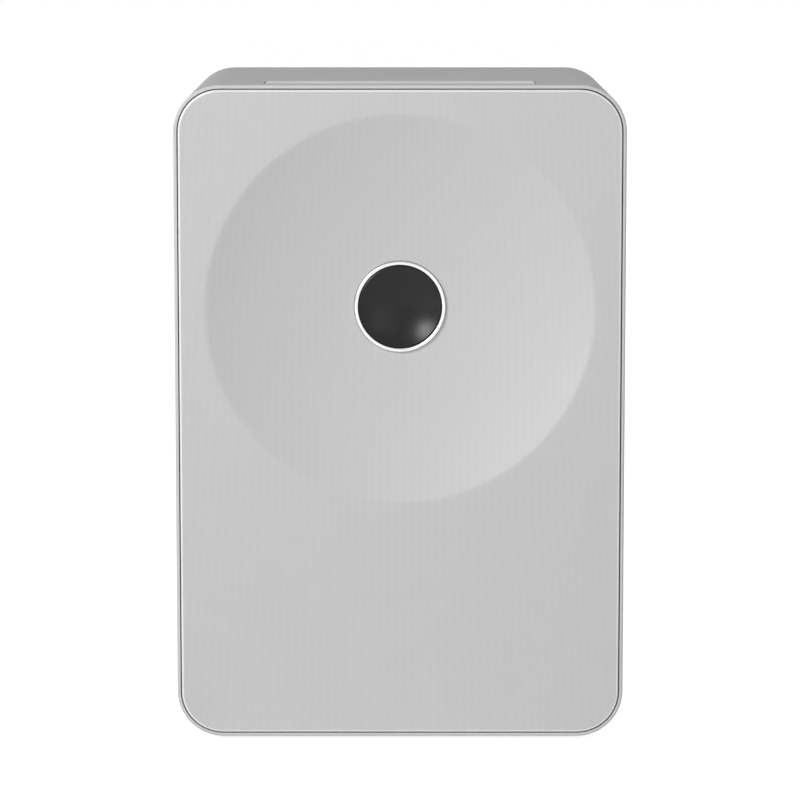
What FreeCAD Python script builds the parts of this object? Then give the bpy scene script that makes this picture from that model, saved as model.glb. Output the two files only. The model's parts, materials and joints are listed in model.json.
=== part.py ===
# Shelf-size wireless speaker with a dished front grille and a jog dial at the dish's centre.
#
# Every piece is drawn as it is seen from the front: x to the right, y up, z towards the listener.
# A body's placement then stands that drawing up, so the finished part has +Z up and faces -Y.
# Its origin is the middle of its base, on the surface it stands on.
import FreeCAD
import Part
import Sketcher
import math
import os

# Driving dimensions, in millimetres. Each becomes a named cell of the spreadsheet.
DIMENSIONS = {
    # cabinet
    "cabinet_width": 170.0,
    "cabinet_height": 248.5,
    "total_depth": 142.0,
    "corner_radius": 17.5,
    "wall": 3.2,
    "back_wall": 6.0,
    "lip": 1.3,
    "rebate_depth": 9.5,
    "front_edge_radius": 0.8,
    "rear_edge_radius": 3.0,
    "fit_gap": 0.3,
    "glue_gap": 0.1,
    # feet
    "foot_lift": 1.5,
    "foot_radius": 8.0,
    "foot_seat": 1.2,
    "foot_inset_side": 26.0,
    "foot_inset_ends": 24.0,
    # grille
    "grille_gap": 0.4,
    "grille_proud": 0.5,
    "grille_sheet": 1.0,
    "grille_flange": 7.0,
    "grille_edge_radius": 0.9,
    "dish_below_top": 84.4,
    "dish_radius": 73.5,
    "dish_depth": 12.0,
    "dish_blend": 6.0,
    "dial_opening": 17.7,
    "grille_frame_width": 5.0,
    "grille_frame_depth": 4.0,
    "grille_frame_corner": 20.0,
    "grille_frame_gap": 0.2,
    "peg_radius": 2.4,
    "peg_inset": 10.6,
    # baffle
    "baffle_setback": 24.0,
    "baffle_thickness": 5.0,
    "post_radius": 5.0,
    "post_bite": 1.0,
    "post_low_up": 42.0,
    "post_middle_up": 96.0,
    "post_high_below_top": 31.0,
    # screws
    "screw_radius": 1.2,
    "screw_gap": 0.1,
    "screw_head_radius": 2.8,
    "screw_head_height": 1.8,
    "screw_bite": 9.0,
    "screw_room": 1.0,
    # woofer
    "gasket": 1.0,
    "woofer_flange_radius": 59.0,
    "woofer_flange": 3.0,
    "basket_radius": 49.2,
    "basket_metal": 1.6,
    "basket_depth": 33.0,
    "spider_shelf_radius": 33.5,
    "spider_shelf_up": 5.4,
    "spider_land": 3.0,
    "spider_trough": 0.4,
    "spider_crest": 1.8,
    "spider_sheet": 0.7,
    "basket_floor_lap": 1.0,
    "basket_screw_circle": 55.5,
    "roll_centre": 42.2,
    "roll_radius": 4.4,
    "roll_sheet": 0.9,
    "surround_lip": 3.9,
    "cone_sheet": 0.8,
    "cone_depth": 20.0,
    "cone_travel": 3.0,
    "cap_radius": 16.2,
    "cap_height": 5.0,
    "cap_seat": 0.25,
    "pole_radius": 12.0,
    "pole_vent_radius": 4.0,
    "coil_gap": 0.5,
    "former_sheet": 0.5,
    "former_overhang": 1.5,
    "winding": 0.6,
    "winding_length": 9.0,
    "top_plate_radius": 36.0,
    "top_plate": 6.0,
    "magnet_radius": 40.0,
    "magnet_bore": 18.0,
    "magnet_depth": 15.0,
    "back_plate": 5.0,
    # tweeter
    "tweeter_up": 45.0,
    "tweeter_radius": 32.0,
    "tweeter_flange": 3.0,
    "tweeter_chamfer": 0.8,
    "tweeter_mouth": 26.0,
    "dome_radius": 12.6,
    "dome_height": 4.6,
    "dome_sheet": 0.6,
    "dome_margin": 1.6,
    "dome_seat": 2.0,
    "dome_gap": 0.2,
    "throat_depth": 4.0,
    "horn_radius": 18.0,
    "tweeter_motor_radius": 23.0,
    "tweeter_motor_depth": 16.0,
    "tweeter_motor_step": 3.0,
    "tweeter_screw_circle": 29.0,
    # dial and what carries it
    "dial_radius": 17.4,
    "dial_proud": 1.2,
    "bezel_width": 1.6,
    "bezel_height": 2.6,
    "bezel_lift": 0.2,
    "bezel_outer_chamfer": 0.6,
    "bezel_inner_chamfer": 0.4,
    "face_gap": 0.2,
    "face_hollow": 4.6,
    "face_base": 1.3,
    "knob_wall": 1.6,
    "knob_skirt": 14.0,
    "knob_skirt_gap": 0.6,
    "knob_hub_depth": 0.8,
    "knob_hub_radius": 5.8,
    "shaft_radius": 3.05,
    "shaft_gap": 0.1,
    "encoder_side": 13.0,
    "encoder_height": 6.5,
    "encoder_floor": 1.4,
    "encoder_room": 1.5,
    "plunger_height": 0.6,
    "push_travel": 0.5,
    "cup_wall": 1.8,
    "cup_floor": 2.0,
    "cup_bite": 1.0,
    "arm_thickness": 3.0,
    "arm_width": 9.0,
    "arm_post_circle": 66.0,
    "arm_post_radius": 4.5,
    # bass port
    "port_below_top": 42.0,
    "port_bore": 17.0,
    "port_wall": 2.0,
    "port_flare": 6.0,
    "port_length": 46.0,
    "port_flange": 4.0,
    "port_flange_sheet": 2.0,
    "port_rim": 1.0,
    # rear plate and its connectors
    "plate_up": 76.0,
    "plate_width": 132.0,
    "plate_height": 126.0,
    "plate_corner": 8.0,
    "plate_thickness": 3.0,
    "plate_margin": 11.0,
    "plate_boss_radius": 4.0,
    "plate_screw_sink": 2.0,
    "bay_up": 42.0,
    "bay_width": 66.0,
    "bay_height": 28.0,
    "bay_depth": 10.0,
    "bay_wall": 2.0,
    "bay_corner": 4.0,
    "inlet_x": -18.0,
    "inlet_width": 20.6,
    "inlet_height": 14.4,
    "inlet_wall": 2.8,
    "inlet_depth": 12.0,
    "inlet_proud": 5.0,
    "inlet_pin_pitch": 8.6,
    "inlet_pin_radius": 1.2,
    "inlet_pin_setback": 2.0,
    "jack_x": 8.0,
    "jack_radius": 4.2,
    "jack_bore": 1.8,
    "jack_depth": 14.0,
    "button_x": 23.0,
    "button_radius": 3.2,
    "button_proud": 1.2,
    "button_travel": 0.5,
    "button_height": 5.0,
    "stop_gap": 0.1,
    "switch_side": 8.0,
    # main board and what stands on it
    "board_width": 104.0,
    "board_height": 96.0,
    "board_thickness": 1.6,
    "board_standoff": 23.0,
    "standoff_radius": 3.6,
    "standoff_inset": 5.0,
    "sink_x": -14.0,
    "sink_up": 98.0,
    "sink_width": 56.0,
    "sink_height": 40.0,
    "sink_base": 3.0,
    "sink_fin": 1.8,
    "sink_depth": 18.0,
    "capacitor_x": 36.0,
    "capacitor_up": 107.0,
    "capacitor_pitch": 20.0,
    "capacitor_radius": 8.0,
    "capacitor_length": 22.0,
    "transformer_x": -22.0,
    "transformer_up": 56.0,
    "transformer_width": 34.0,
    "transformer_height": 26.0,
    "transformer_depth": 22.0,
    "radio_x": 28.0,
    "radio_up": 58.0,
    "radio_width": 30.0,
    "radio_height": 22.0,
    "radio_depth": 3.0,
    # touch panel in the cabinet's top
    "touch_width": 102.0,
    "touch_depth": 20.0,
    "touch_setback": 11.0,
    "touch_thickness": 1.2,
    "touch_corner": 1.5,
    "touch_board_thickness": 1.6,
    "touch_board_inset": 3.0,
}

SHEET = "dims"
SIX_WINDOWS = 6
WINDOW_HALF_ANGLE = 21
THREE_ARMS = 3
SPIDER_BENDS = 8
TWEETER_SCREW_ANGLES = (45, 135, 225, 315)
FIN_COUNT = 8


class Size:
    """A length: its value now, and the expression over spreadsheet cells that keeps it live."""

    def __init__(self, value, text):
        self.value = float(value)
        self.text = text

    @staticmethod
    def of(thing):
        return thing if isinstance(thing, Size) else Size(thing, f"({float(thing):.9g})")

    def __add__(self, other):
        other = Size.of(other)
        return Size(self.value + other.value, f"({self.text} + {other.text})")

    def __sub__(self, other):
        other = Size.of(other)
        return Size(self.value - other.value, f"({self.text} - {other.text})")

    def __mul__(self, other):
        other = Size.of(other)
        return Size(self.value * other.value, f"({self.text} * {other.text})")

    def __truediv__(self, other):
        other = Size.of(other)
        return Size(self.value / other.value, f"({self.text} / {other.text})")

    def __radd__(self, other):
        return Size.of(other) + self

    def __rsub__(self, other):
        return Size.of(other) - self

    def __rmul__(self, other):
        return Size.of(other) * self

    def __neg__(self):
        return Size(-self.value, f"(0 - {self.text})")

    def root(self):
        return Size(math.sqrt(self.value), f"sqrt({self.text})")


def make_sheet(doc):
    """Writes the driving dimensions into a spreadsheet and returns them as sizes by name."""
    sheet = doc.addObject("Spreadsheet::Sheet", SHEET)
    for row, (name, value) in enumerate(DIMENSIONS.items(), start=1):
        sheet.set(f"A{row}", name)
        sheet.set(f"B{row}", str(value))
        sheet.setAlias(f"B{row}", name)
    doc.recompute()
    return {name: Size(sheet.get(name), f"{SHEET}.{name}") for name in DIMENSIONS}


doc = FreeCAD.newDocument("wireless_speaker")
d = make_sheet(doc)
pieces = []

# Levels that several pieces share, from the front view: z is forward, y is up.
front = d["total_depth"] / 2
rear = -front
mouth = front - d["grille_proud"]
middle_up = d["foot_lift"] + d["cabinet_height"] / 2
top_up = d["foot_lift"] + d["cabinet_height"]
dish_up = top_up - d["dish_below_top"]
port_up = top_up - d["port_below_top"]
baffle_front = front - d["baffle_setback"]
baffle_back = baffle_front - d["baffle_thickness"]
inner_back = rear + d["back_wall"]
plate_inside = rear + d["plate_thickness"]
board_rear = plate_inside + d["board_standoff"]
board_front = board_rear + d["board_thickness"]
screw_hole = d["screw_radius"] + d["screw_gap"]


# Drawing helpers

def stand_up(piece, up=None, forward=None):
    """Turns a front-view drawing upright: its y becomes +Z, and its z comes out of the front, along -Y."""
    piece.Placement = FreeCAD.Placement(FreeCAD.Vector(), FreeCAD.Rotation(FreeCAD.Vector(1, 0, 0), 90))
    if up is not None:
        piece.setExpression("Placement.Base.z", up.text)
    if forward is not None:
        piece.setExpression("Placement.Base.y", (-forward).text)


def new_body(label, up=None, forward=None):
    body = doc.addObject("PartDesign::Body", label)
    body.Label = label
    stand_up(body, up, forward)
    pieces.append(body)
    return body


def new_sketch(body, plane="XY_Plane", offset=None):
    """A sketch on one of the body's own planes, moved along that plane's normal by offset."""
    sketch = body.newObject("Sketcher::SketchObject", f"{body.Label}_sketch")
    support = next(feature for feature in body.Origin.OriginFeatures if feature.Role == plane)
    sketch.AttachmentSupport = [(support, "")]
    sketch.MapMode = "FlatFace"
    if offset is not None:
        sketch.setExpression("AttachmentOffset.Base.z", offset.text)
    return sketch


def pin(sketch, geometry, end, u, v):
    """Ties one point of the sketch to the cells that place it."""
    for kind, axis, size in (("DistanceX", -2, Size.of(u)), ("DistanceY", -1, Size.of(v))):
        if abs(size.value) < 1e-9:
            sketch.addConstraint(Sketcher.Constraint("PointOnObject", geometry, end, axis))
            continue
        index = sketch.addConstraint(Sketcher.Constraint(kind, -1, 1, geometry, end, size.value))
        sketch.setExpression(f"Constraints[{index}]", size.text)


def arc_between(start, end, radius, centre_side):
    """The minor arc from start to end, with its centre to the left or right of that direction."""
    chord = end - start
    reach = math.sqrt(max(radius * radius - chord.Length * chord.Length / 4, 0.0))
    left = FreeCAD.Vector(-chord.y, chord.x, 0).normalize()
    centre = (start + end) * 0.5 + left * (reach if centre_side == "left" else -reach)
    first, last = (start, end) if centre_side == "left" else (end, start)
    angles = [math.atan2(p.y - centre.y, p.x - centre.x) for p in (first, last)]
    circle = Part.Circle(centre, FreeCAD.Vector(0, 0, 1), radius)
    return Part.ArcOfCircle(circle, angles[0], angles[1])


def draw_outline(sketch, points):
    """A closed outline. A point is (u, v), or (u, v, side, radius) where an arc leads to it."""
    places = [FreeCAD.Vector(Size.of(p[0]).value, Size.of(p[1]).value, 0) for p in points]
    ends = []
    for index, point in enumerate(points):
        start, end = places[index - 1], places[index]
        if len(point) == 2:
            geometry = sketch.addGeometry(Part.LineSegment(start, end), False)
            ends.append((geometry, 1, 2))
            continue
        side, radius = point[2], Size.of(point[3])
        geometry = sketch.addGeometry(arc_between(start, end, radius.value, side), False)
        ends.append((geometry, 1, 2) if side == "left" else (geometry, 2, 1))
        bend = sketch.addConstraint(Sketcher.Constraint("Radius", geometry, radius.value))
        sketch.setExpression(f"Constraints[{bend}]", radius.text)
    for index, point in enumerate(points):
        geometry, _, last = ends[index]
        following, first, _ = ends[(index + 1) % len(points)]
        sketch.addConstraint(Sketcher.Constraint("Coincident", geometry, last, following, first))
        pin(sketch, geometry, last, point[0], point[1])


def draw_circle(sketch, u, v, radius):
    u, v, radius = Size.of(u), Size.of(v), Size.of(radius)
    circle = Part.Circle(FreeCAD.Vector(u.value, v.value, 0), FreeCAD.Vector(0, 0, 1), radius.value)
    geometry = sketch.addGeometry(circle, False)
    pin(sketch, geometry, 3, u, v)
    bend = sketch.addConstraint(Sketcher.Constraint("Radius", geometry, radius.value))
    sketch.setExpression(f"Constraints[{bend}]", radius.text)


def draw_box(sketch, width, height, u=0, v=0, corner=None):
    """A rectangle about (u, v), with rounded corners where corner is given."""
    right, left = u + Size.of(width) / 2, u - Size.of(width) / 2
    high, low = v + Size.of(height) / 2, v - Size.of(height) / 2
    if corner is None:
        draw_outline(sketch, [(left, low), (right, low), (right, high), (left, high)])
        return
    draw_outline(sketch, [
        (right - corner, low), (right, low + corner, "left", corner),
        (right, high - corner), (right - corner, high, "left", corner),
        (left + corner, high), (left, high - corner, "left", corner),
        (left, low + corner), (left + corner, low, "left", corner),
    ])


def sector(inner, outer, half_angle):
    """The outline of a piece of a flat ring, to both sides of the x axis by an angle in degrees."""
    along, aside = math.cos(math.radians(half_angle)), math.sin(math.radians(half_angle))
    return [
        (inner * along, inner * -aside, "right", inner), (outer * along, outer * -aside),
        (outer * along, outer * aside, "left", outer), (inner * along, inner * aside),
    ]


def pad(body, sketch, length):
    feature = body.newObject("PartDesign::Pad", f"{body.Label}_pad")
    feature.Profile = sketch
    feature.setExpression("Length", Size.of(length).text)
    doc.recompute()
    return feature


def revolve(body, sketch):
    """Turns a sketch about its own upright axis."""
    feature = body.newObject("PartDesign::Revolution", f"{body.Label}_turned")
    feature.Profile = sketch
    feature.ReferenceAxis = (sketch, ["V_Axis"])
    feature.Angle = 360
    doc.recompute()
    return feature


def cut(body, sketch, length, along_normal=False):
    """Cuts against the sketch's normal, or along it, and makes sure that material was taken away."""
    before = body.Shape.Volume
    feature = body.newObject("PartDesign::Pocket", f"{body.Label}_cut")
    feature.Profile = sketch
    feature.setExpression("Length", Size.of(length).text)
    feature.Reversed = along_normal
    doc.recompute()
    if body.Shape.Volume >= before:
        raise RuntimeError(f"{feature.Name} takes nothing off {body.Label}")
    return feature


def repeat_round(body, feature, sketch, count):
    """Repeats a feature round its sketch's normal."""
    pattern = body.newObject("PartDesign::PolarPattern", f"{body.Label}_round")
    pattern.Originals = [feature]
    pattern.Axis = (sketch, ["N_Axis"])
    pattern.Angle = 360
    pattern.Occurrences = count
    body.Tip = pattern
    doc.recompute()
    return pattern


def fillet(body, base, radius, chosen):
    """Rounds the edges of base that the test picks out."""
    names = [f"Edge{i}" for i, edge in enumerate(base.Shape.Edges, start=1) if chosen(edge)]
    feature = body.newObject("PartDesign::Fillet", f"{body.Label}_round")
    feature.Base = (base, names)
    feature.setExpression("Radius", Size.of(radius).text)
    doc.recompute()
    return feature


def lies_at(z):
    """A test for edges that lie flat at one forward level of a drawing."""
    return lambda edge: all(abs(vertex.Z - z.value) < 1e-4 for vertex in edge.Vertexes)


def turned(label, points, up=None, forward=None):
    """A body turned from one outline in (radius, forward)."""
    body = new_body(label, up, forward)
    sketch = new_sketch(body, "XZ_Plane")
    draw_outline(sketch, points)
    revolve(body, sketch)
    return body


def block(label, width, height, depth, x=0, up=0, forward=0, corner=None):
    """A plain block drawn in the front view, from forward towards the listener."""
    body = new_body(label)
    sketch = new_sketch(body, offset=Size.of(forward))
    draw_box(sketch, width, height, Size.of(x), Size.of(up), corner)
    pad(body, sketch, depth)
    return body


def rod(name, radius, length, x, up, seat, towards_front):
    """A round bar lying front to back, with one end at the level seat."""
    bar = doc.addObject("Part::Cylinder", name)
    turn = FreeCAD.Rotation(FreeCAD.Vector(1, 0, 0), 90 if towards_front else -90)
    bar.Placement = FreeCAD.Placement(FreeCAD.Vector(), turn)
    bar.setExpression("Radius", Size.of(radius).text)
    bar.setExpression("Height", Size.of(length).text)
    bar.setExpression("Placement.Base.x", Size.of(x).text)
    bar.setExpression("Placement.Base.y", (-Size.of(seat)).text)
    bar.setExpression("Placement.Base.z", Size.of(up).text)
    return bar


def screws(label, places, seat, through, towards_front):
    """Pan-head screws with their heads on the level seat, through one layer and on into the next."""
    made = []
    for x, up in places:
        shank_length = through + d["screw_bite"]
        shank = rod(f"{label}_shank", d["screw_radius"], shank_length, x, up, seat, towards_front)
        head_height = d["screw_head_height"]
        head = rod(f"{label}_head", d["screw_head_radius"], head_height, x, up, seat, not towards_front)
        whole = doc.addObject("Part::MultiFuse", f"{label}_screw")
        whole.Shapes = [shank, head]
        made.append(whole)
    piece = doc.addObject("Part::Compound", label)
    piece.Label = label
    piece.Links = made
    pieces.append(piece)
    return piece


def ball_radius(half_width, height):
    """The radius of the ball that a cap of this half width and height belongs to."""
    return (half_width * half_width + height * height) / (height * 2)


def leg(longest, other):
    """The third side of a right-angled triangle."""
    return (longest * longest - other * other).root()


def on_circle(radius, angles, up=0):
    """Places on a circle, as (x, up), at angles in degrees."""
    turns = [math.radians(angle) for angle in angles]
    return [(radius * math.cos(turn), up + radius * math.sin(turn)) for turn in turns]


# Cabinet: one moulded bucket, open at the front

def cabinet_outline(sketch, inset):
    draw_box(sketch, d["cabinet_width"] - inset * 2, d["cabinet_height"] - inset * 2, Size.of(0), middle_up,
             d["corner_radius"] - inset)


post_x = d["cabinet_width"] / 2 - d["wall"] - d["post_radius"] + d["post_bite"]
post_levels = (d["post_low_up"], d["post_middle_up"], top_up - d["post_high_below_top"])
post_places = [(post_x * side, up) for side in (-1, 1) for up in post_levels]
foot_x = d["cabinet_width"] / 2 - d["foot_inset_side"]
foot_z = front - d["foot_inset_ends"]
foot_places = [(foot_x * side, foot_z * end) for side in (-1, 1) for end in (-1, 1)]
touch_z = front - d["touch_setback"] - d["touch_depth"] / 2
plate_screw_x = d["plate_width"] / 2 - d["plate_margin"] / 2
plate_screw_up = d["plate_height"] / 2 - d["plate_margin"] / 2
plate_screw_places = [(plate_screw_x * side, d["plate_up"] + plate_screw_up * end)
                      for side in (-1, 1) for end in (-1, 0, 1)]

shell = new_body("cabinet_shell")
sketch = new_sketch(shell, offset=rear)
cabinet_outline(sketch, Size.of(0))
block_out = pad(shell, sketch, mouth - rear)
front_round = fillet(shell, block_out, d["front_edge_radius"], lies_at(mouth))
fillet(shell, front_round, d["rear_edge_radius"], lies_at(rear))

sketch = new_sketch(shell, offset=mouth)
cabinet_outline(sketch, d["lip"])
cut(shell, sketch, d["rebate_depth"])
sketch = new_sketch(shell, offset=mouth)
cabinet_outline(sketch, d["wall"])
cut(shell, sketch, mouth - inner_back)

# Posts up the side walls carry the baffle
sketch = new_sketch(shell, offset=inner_back)
for x, up in post_places:
    draw_circle(sketch, x, up, d["post_radius"])
pad(shell, sketch, baffle_back - inner_back)
sketch = new_sketch(shell, offset=baffle_back)
for x, up in post_places:
    draw_circle(sketch, x, up, screw_hole)
cut(shell, sketch, d["screw_bite"] + d["screw_room"])

# Opening, recess and screw bosses for the rear plate
sketch = new_sketch(shell, offset=inner_back)
draw_box(sketch, d["plate_width"] - d["plate_margin"] * 2, d["plate_height"] - d["plate_margin"] * 2,
         Size.of(0), d["plate_up"], d["plate_corner"])
cut(shell, sketch, d["back_wall"])
sketch = new_sketch(shell, offset=plate_inside)
draw_box(sketch, d["plate_width"] + d["fit_gap"] * 2, d["plate_height"] + d["fit_gap"] * 2,
         Size.of(0), d["plate_up"], d["plate_corner"] + d["fit_gap"])
cut(shell, sketch, d["plate_thickness"])
sketch = new_sketch(shell, offset=inner_back)
for x, up in plate_screw_places:
    draw_circle(sketch, x, up, d["plate_boss_radius"])
pad(shell, sketch, d["screw_bite"])
sketch = new_sketch(shell, offset=plate_inside)
for x, up in plate_screw_places:
    draw_circle(sketch, x, up, screw_hole)
cut(shell, sketch, d["screw_bite"] + d["screw_room"], along_normal=True)

# Hole for the bass port
port_mouth = d["port_bore"] + d["port_flare"] + d["port_rim"]
sketch = new_sketch(shell, offset=inner_back)
draw_circle(sketch, 0, port_up, port_mouth + d["fit_gap"])
cut(shell, sketch, d["back_wall"])

# Seats for the touch panel in the top and for the feet below
sketch = new_sketch(shell, "XZ_Plane", d["touch_thickness"] - top_up)
draw_box(sketch, d["touch_width"] + d["fit_gap"] * 2, d["touch_depth"] + d["fit_gap"] * 2,
         Size.of(0), touch_z, d["touch_corner"] + d["fit_gap"])
cut(shell, sketch, d["touch_thickness"])
sketch = new_sketch(shell, "XZ_Plane", -(d["foot_lift"] + d["foot_seat"]))
for x, z in foot_places:
    draw_circle(sketch, x, z, d["foot_radius"] + d["fit_gap"])
cut(shell, sketch, d["foot_seat"], along_normal=True)


# Front grille: a drawn sheet with a turned-back edge and a shallow spherical dish

grille_inset = d["lip"] + d["grille_gap"]
grille_inner = grille_inset + d["grille_sheet"]
sphere_radius = ball_radius(d["dish_radius"], d["dish_depth"])
sphere_rise = sphere_radius - d["dish_depth"]
sphere_centre = front + sphere_rise


def dish_level(radius, behind=0):
    """How far forward the dish lies at a radius, on its face or on a surface that far behind it."""
    ball = sphere_radius + behind
    return sphere_centre - leg(ball, Size.of(radius))


# The rim's blend is an arc that touches both the flat face and the sphere
blend = d["dish_blend"]
blend_centre = leg(sphere_radius + blend, sphere_rise + blend)
blend_share = sphere_radius / (sphere_radius + blend)
touch_radius = blend_centre * blend_share
touch_level = dish_level(touch_radius)
thin = d["grille_sheet"]
inner_share = (sphere_radius + thin) / (sphere_radius + blend)
inner_touch_radius = blend_centre * inner_share
inner_touch_level = dish_level(inner_touch_radius, thin)

grille = new_body("front_grille")
sketch = new_sketch(grille, offset=front - d["grille_flange"] - d["grille_sheet"])
cabinet_outline(sketch, grille_inset)
slab = pad(grille, sketch, d["grille_flange"] + d["grille_sheet"])
fillet(grille, slab, d["grille_edge_radius"], lies_at(front))
sketch = new_sketch(grille, offset=front - d["grille_sheet"])
cabinet_outline(sketch, grille_inner)
cut(grille, sketch, d["grille_flange"])
# The dish: a hole in the flat sheet, filled by a turned bowl
sketch = new_sketch(grille, offset=front)
draw_circle(sketch, 0, dish_up, blend_centre)
cut(grille, sketch, d["grille_sheet"])
sketch = new_sketch(grille, "XZ_Plane", -dish_up)
hole = d["dial_opening"]
draw_outline(sketch, [
    (hole, dish_level(hole, thin)),
    (inner_touch_radius, inner_touch_level, "left", sphere_radius + thin),
    (blend_centre, front - thin, "right", blend - thin),
    (blend_centre, front),
    (touch_radius, touch_level, "left", blend),
    (hole, dish_level(hole), "right", sphere_radius),
])
revolve(grille, sketch)


# Frame behind the grille's edge, with four pegs that push into the baffle

frame_outer = grille_inner + d["grille_frame_gap"]
frame_inner = frame_outer + d["grille_frame_width"]
frame_front = front - d["grille_sheet"]
frame_back = frame_front - d["grille_frame_depth"]
peg_x = d["cabinet_width"] / 2 - d["peg_inset"]
peg_up = d["cabinet_height"] / 2 - d["peg_inset"]
peg_places = [(peg_x * side, middle_up + peg_up * end) for side in (-1, 1) for end in (-1, 1)]

grille_frame = new_body("grille_frame")
sketch = new_sketch(grille_frame, offset=frame_back)
cabinet_outline(sketch, frame_outer)
draw_box(sketch, d["cabinet_width"] - frame_inner * 2, d["cabinet_height"] - frame_inner * 2,
         Size.of(0), middle_up, d["grille_frame_corner"])
pad(grille_frame, sketch, d["grille_frame_depth"])
sketch = new_sketch(grille_frame, offset=baffle_back)
for x, up in peg_places:
    draw_circle(sketch, x, up, d["peg_radius"])
pad(grille_frame, sketch, frame_back - baffle_back)


# Baffle that carries the drivers

woofer_hole = d["basket_radius"] + d["fit_gap"] * 2
tweeter_hole = d["tweeter_motor_radius"] + d["fit_gap"] * 3
arm_angles = [90 + 360 / THREE_ARMS * index for index in range(THREE_ARMS)]
arm_places = on_circle(d["arm_post_circle"], arm_angles, dish_up)
woofer_screw_angles = [30 + 60 * index for index in range(SIX_WINDOWS)]
woofer_screw_places = on_circle(d["basket_screw_circle"], woofer_screw_angles, dish_up)
tweeter_screw_places = on_circle(d["tweeter_screw_circle"], TWEETER_SCREW_ANGLES, d["tweeter_up"])

baffle = new_body("front_baffle")
sketch = new_sketch(baffle, offset=baffle_back)
cabinet_outline(sketch, d["wall"] + d["fit_gap"])
draw_circle(sketch, 0, dish_up, woofer_hole)
draw_circle(sketch, 0, d["tweeter_up"], tweeter_hole)
for x, up in peg_places:
    draw_circle(sketch, x, up, d["peg_radius"] + d["screw_gap"])
for x, up in post_places + arm_places + woofer_screw_places + tweeter_screw_places:
    draw_circle(sketch, x, up, screw_hole)
pad(baffle, sketch, d["baffle_thickness"])


# Woofer, drawn from the back of its flange, which is level 0

woofer_at = {"up": dish_up, "forward": baffle_front + d["gasket"]}
flange_front = d["woofer_flange"]
shelf_level = d["spider_shelf_up"] - d["basket_depth"]
basket_back = -d["basket_depth"]
metal = d["basket_metal"]
basket_inner = d["basket_radius"] - metal
ring_outer = d["spider_shelf_radius"] - metal * 1.5
ring_inner = d["magnet_bore"] - d["basket_floor_lap"]

gasket = turned("woofer_gasket", [
    (woofer_hole, -d["gasket"]), (d["woofer_flange_radius"], -d["gasket"]),
    (d["woofer_flange_radius"], 0), (woofer_hole, 0),
], **woofer_at)
sketch = new_sketch(gasket)
for x, up in on_circle(d["basket_screw_circle"], woofer_screw_angles):
    draw_circle(sketch, x, up, screw_hole)
cut(gasket, sketch, d["gasket"])

basket = turned("woofer_basket", [
    (d["basket_radius"], 0), (d["woofer_flange_radius"], 0), (d["woofer_flange_radius"], flange_front),
    (basket_inner, flange_front), (basket_inner, -metal), (d["spider_shelf_radius"], shelf_level),
    (ring_outer - metal, shelf_level), (ring_outer - metal, basket_back + metal),
    (ring_inner, basket_back + metal), (ring_inner, basket_back), (ring_outer, basket_back),
    (ring_outer, shelf_level - metal), (d["spider_shelf_radius"] + metal, shelf_level - metal),
    (d["basket_radius"], -metal * 1.6),
], **woofer_at)
# Open windows between the legs
window_in = d["spider_shelf_radius"] + metal * 1.8
window_out = d["basket_radius"] - metal * 2
sketch = new_sketch(basket, offset=-metal * 2)
draw_outline(sketch, sector(window_in, window_out, WINDOW_HALF_ANGLE))
window = cut(basket, sketch, -metal * 2 - shelf_level)
repeat_round(basket, window, sketch, SIX_WINDOWS)
sketch = new_sketch(basket, offset=flange_front)
for x, up in on_circle(d["basket_screw_circle"], woofer_screw_angles):
    draw_circle(sketch, x, up, screw_hole)
cut(basket, sketch, d["woofer_flange"])

roll = d["roll_centre"]
roll_top = flange_front + d["roll_sheet"]
roll_out = d["roll_radius"]
roll_in = d["roll_radius"] - d["roll_sheet"]
turned("woofer_surround", [
    (roll + roll_in, flange_front), (roll + roll_out + d["surround_lip"], flange_front),
    (roll + roll_out + d["surround_lip"], roll_top), (roll + roll_out, roll_top),
    (roll, roll_top + roll_out, "left", roll_out), (roll - roll_out, roll_top, "left", roll_out),
    (roll - roll_out - d["surround_lip"], roll_top), (roll - roll_out - d["surround_lip"], flange_front),
    (roll - roll_in, flange_front), (roll - roll_in, roll_top),
    (roll, roll_top + roll_in, "right", roll_in), (roll + roll_in, roll_top, "right", roll_in),
], **woofer_at)

former_in = d["pole_radius"] + d["coil_gap"]
former_out = former_in + d["former_sheet"]
neck = former_out + d["glue_gap"]
cone_edge = roll - roll_in - d["fit_gap"]
cone_bend = roll - roll_out - d["surround_lip"]
cone_foot = flange_front - d["cone_depth"]
cone_slope = d["cone_depth"] / (cone_bend - neck)
turned("woofer_cone", [
    (neck, cone_foot - d["cone_sheet"] * 1.4),
    (cone_bend + d["cone_sheet"] * 0.6, flange_front - d["cone_sheet"]),
    (cone_edge, flange_front - d["cone_sheet"]), (cone_edge, flange_front),
    (cone_bend, flange_front), (neck, cone_foot),
], **woofer_at)

cap_foot = cone_foot + (d["cap_radius"] - neck) * cone_slope + d["cap_seat"]
cap_ball = ball_radius(d["cap_radius"], d["cap_height"])
cap_inner_ball = cap_ball - d["cone_sheet"]
cap_inner_radius = leg(cap_inner_ball, cap_ball - d["cap_height"])
turned("dust_cap", [
    (d["cap_radius"], cap_foot), (0, cap_foot + d["cap_height"], "left", cap_ball),
    (0, cap_foot + d["cap_height"] - d["cone_sheet"]), (cap_inner_radius, cap_foot, "right", cap_inner_ball),
], **woofer_at)

plate_middle = basket_back - d["top_plate"] / 2
coil_front = plate_middle + d["winding_length"] / 2
coil_back = plate_middle - d["winding_length"] / 2
former_back = coil_back - d["former_overhang"]
former_front = cone_foot + d["former_overhang"]
turned("voice_coil_former", [
    (former_in, former_back), (former_out, former_back),
    (former_out, former_front), (former_in, former_front),
], **woofer_at)
turned("voice_coil_winding", [
    (former_out, coil_back), (former_out + d["winding"], coil_back), (former_out + d["winding"], coil_front),
    (former_out, coil_front),
], **woofer_at)

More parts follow.
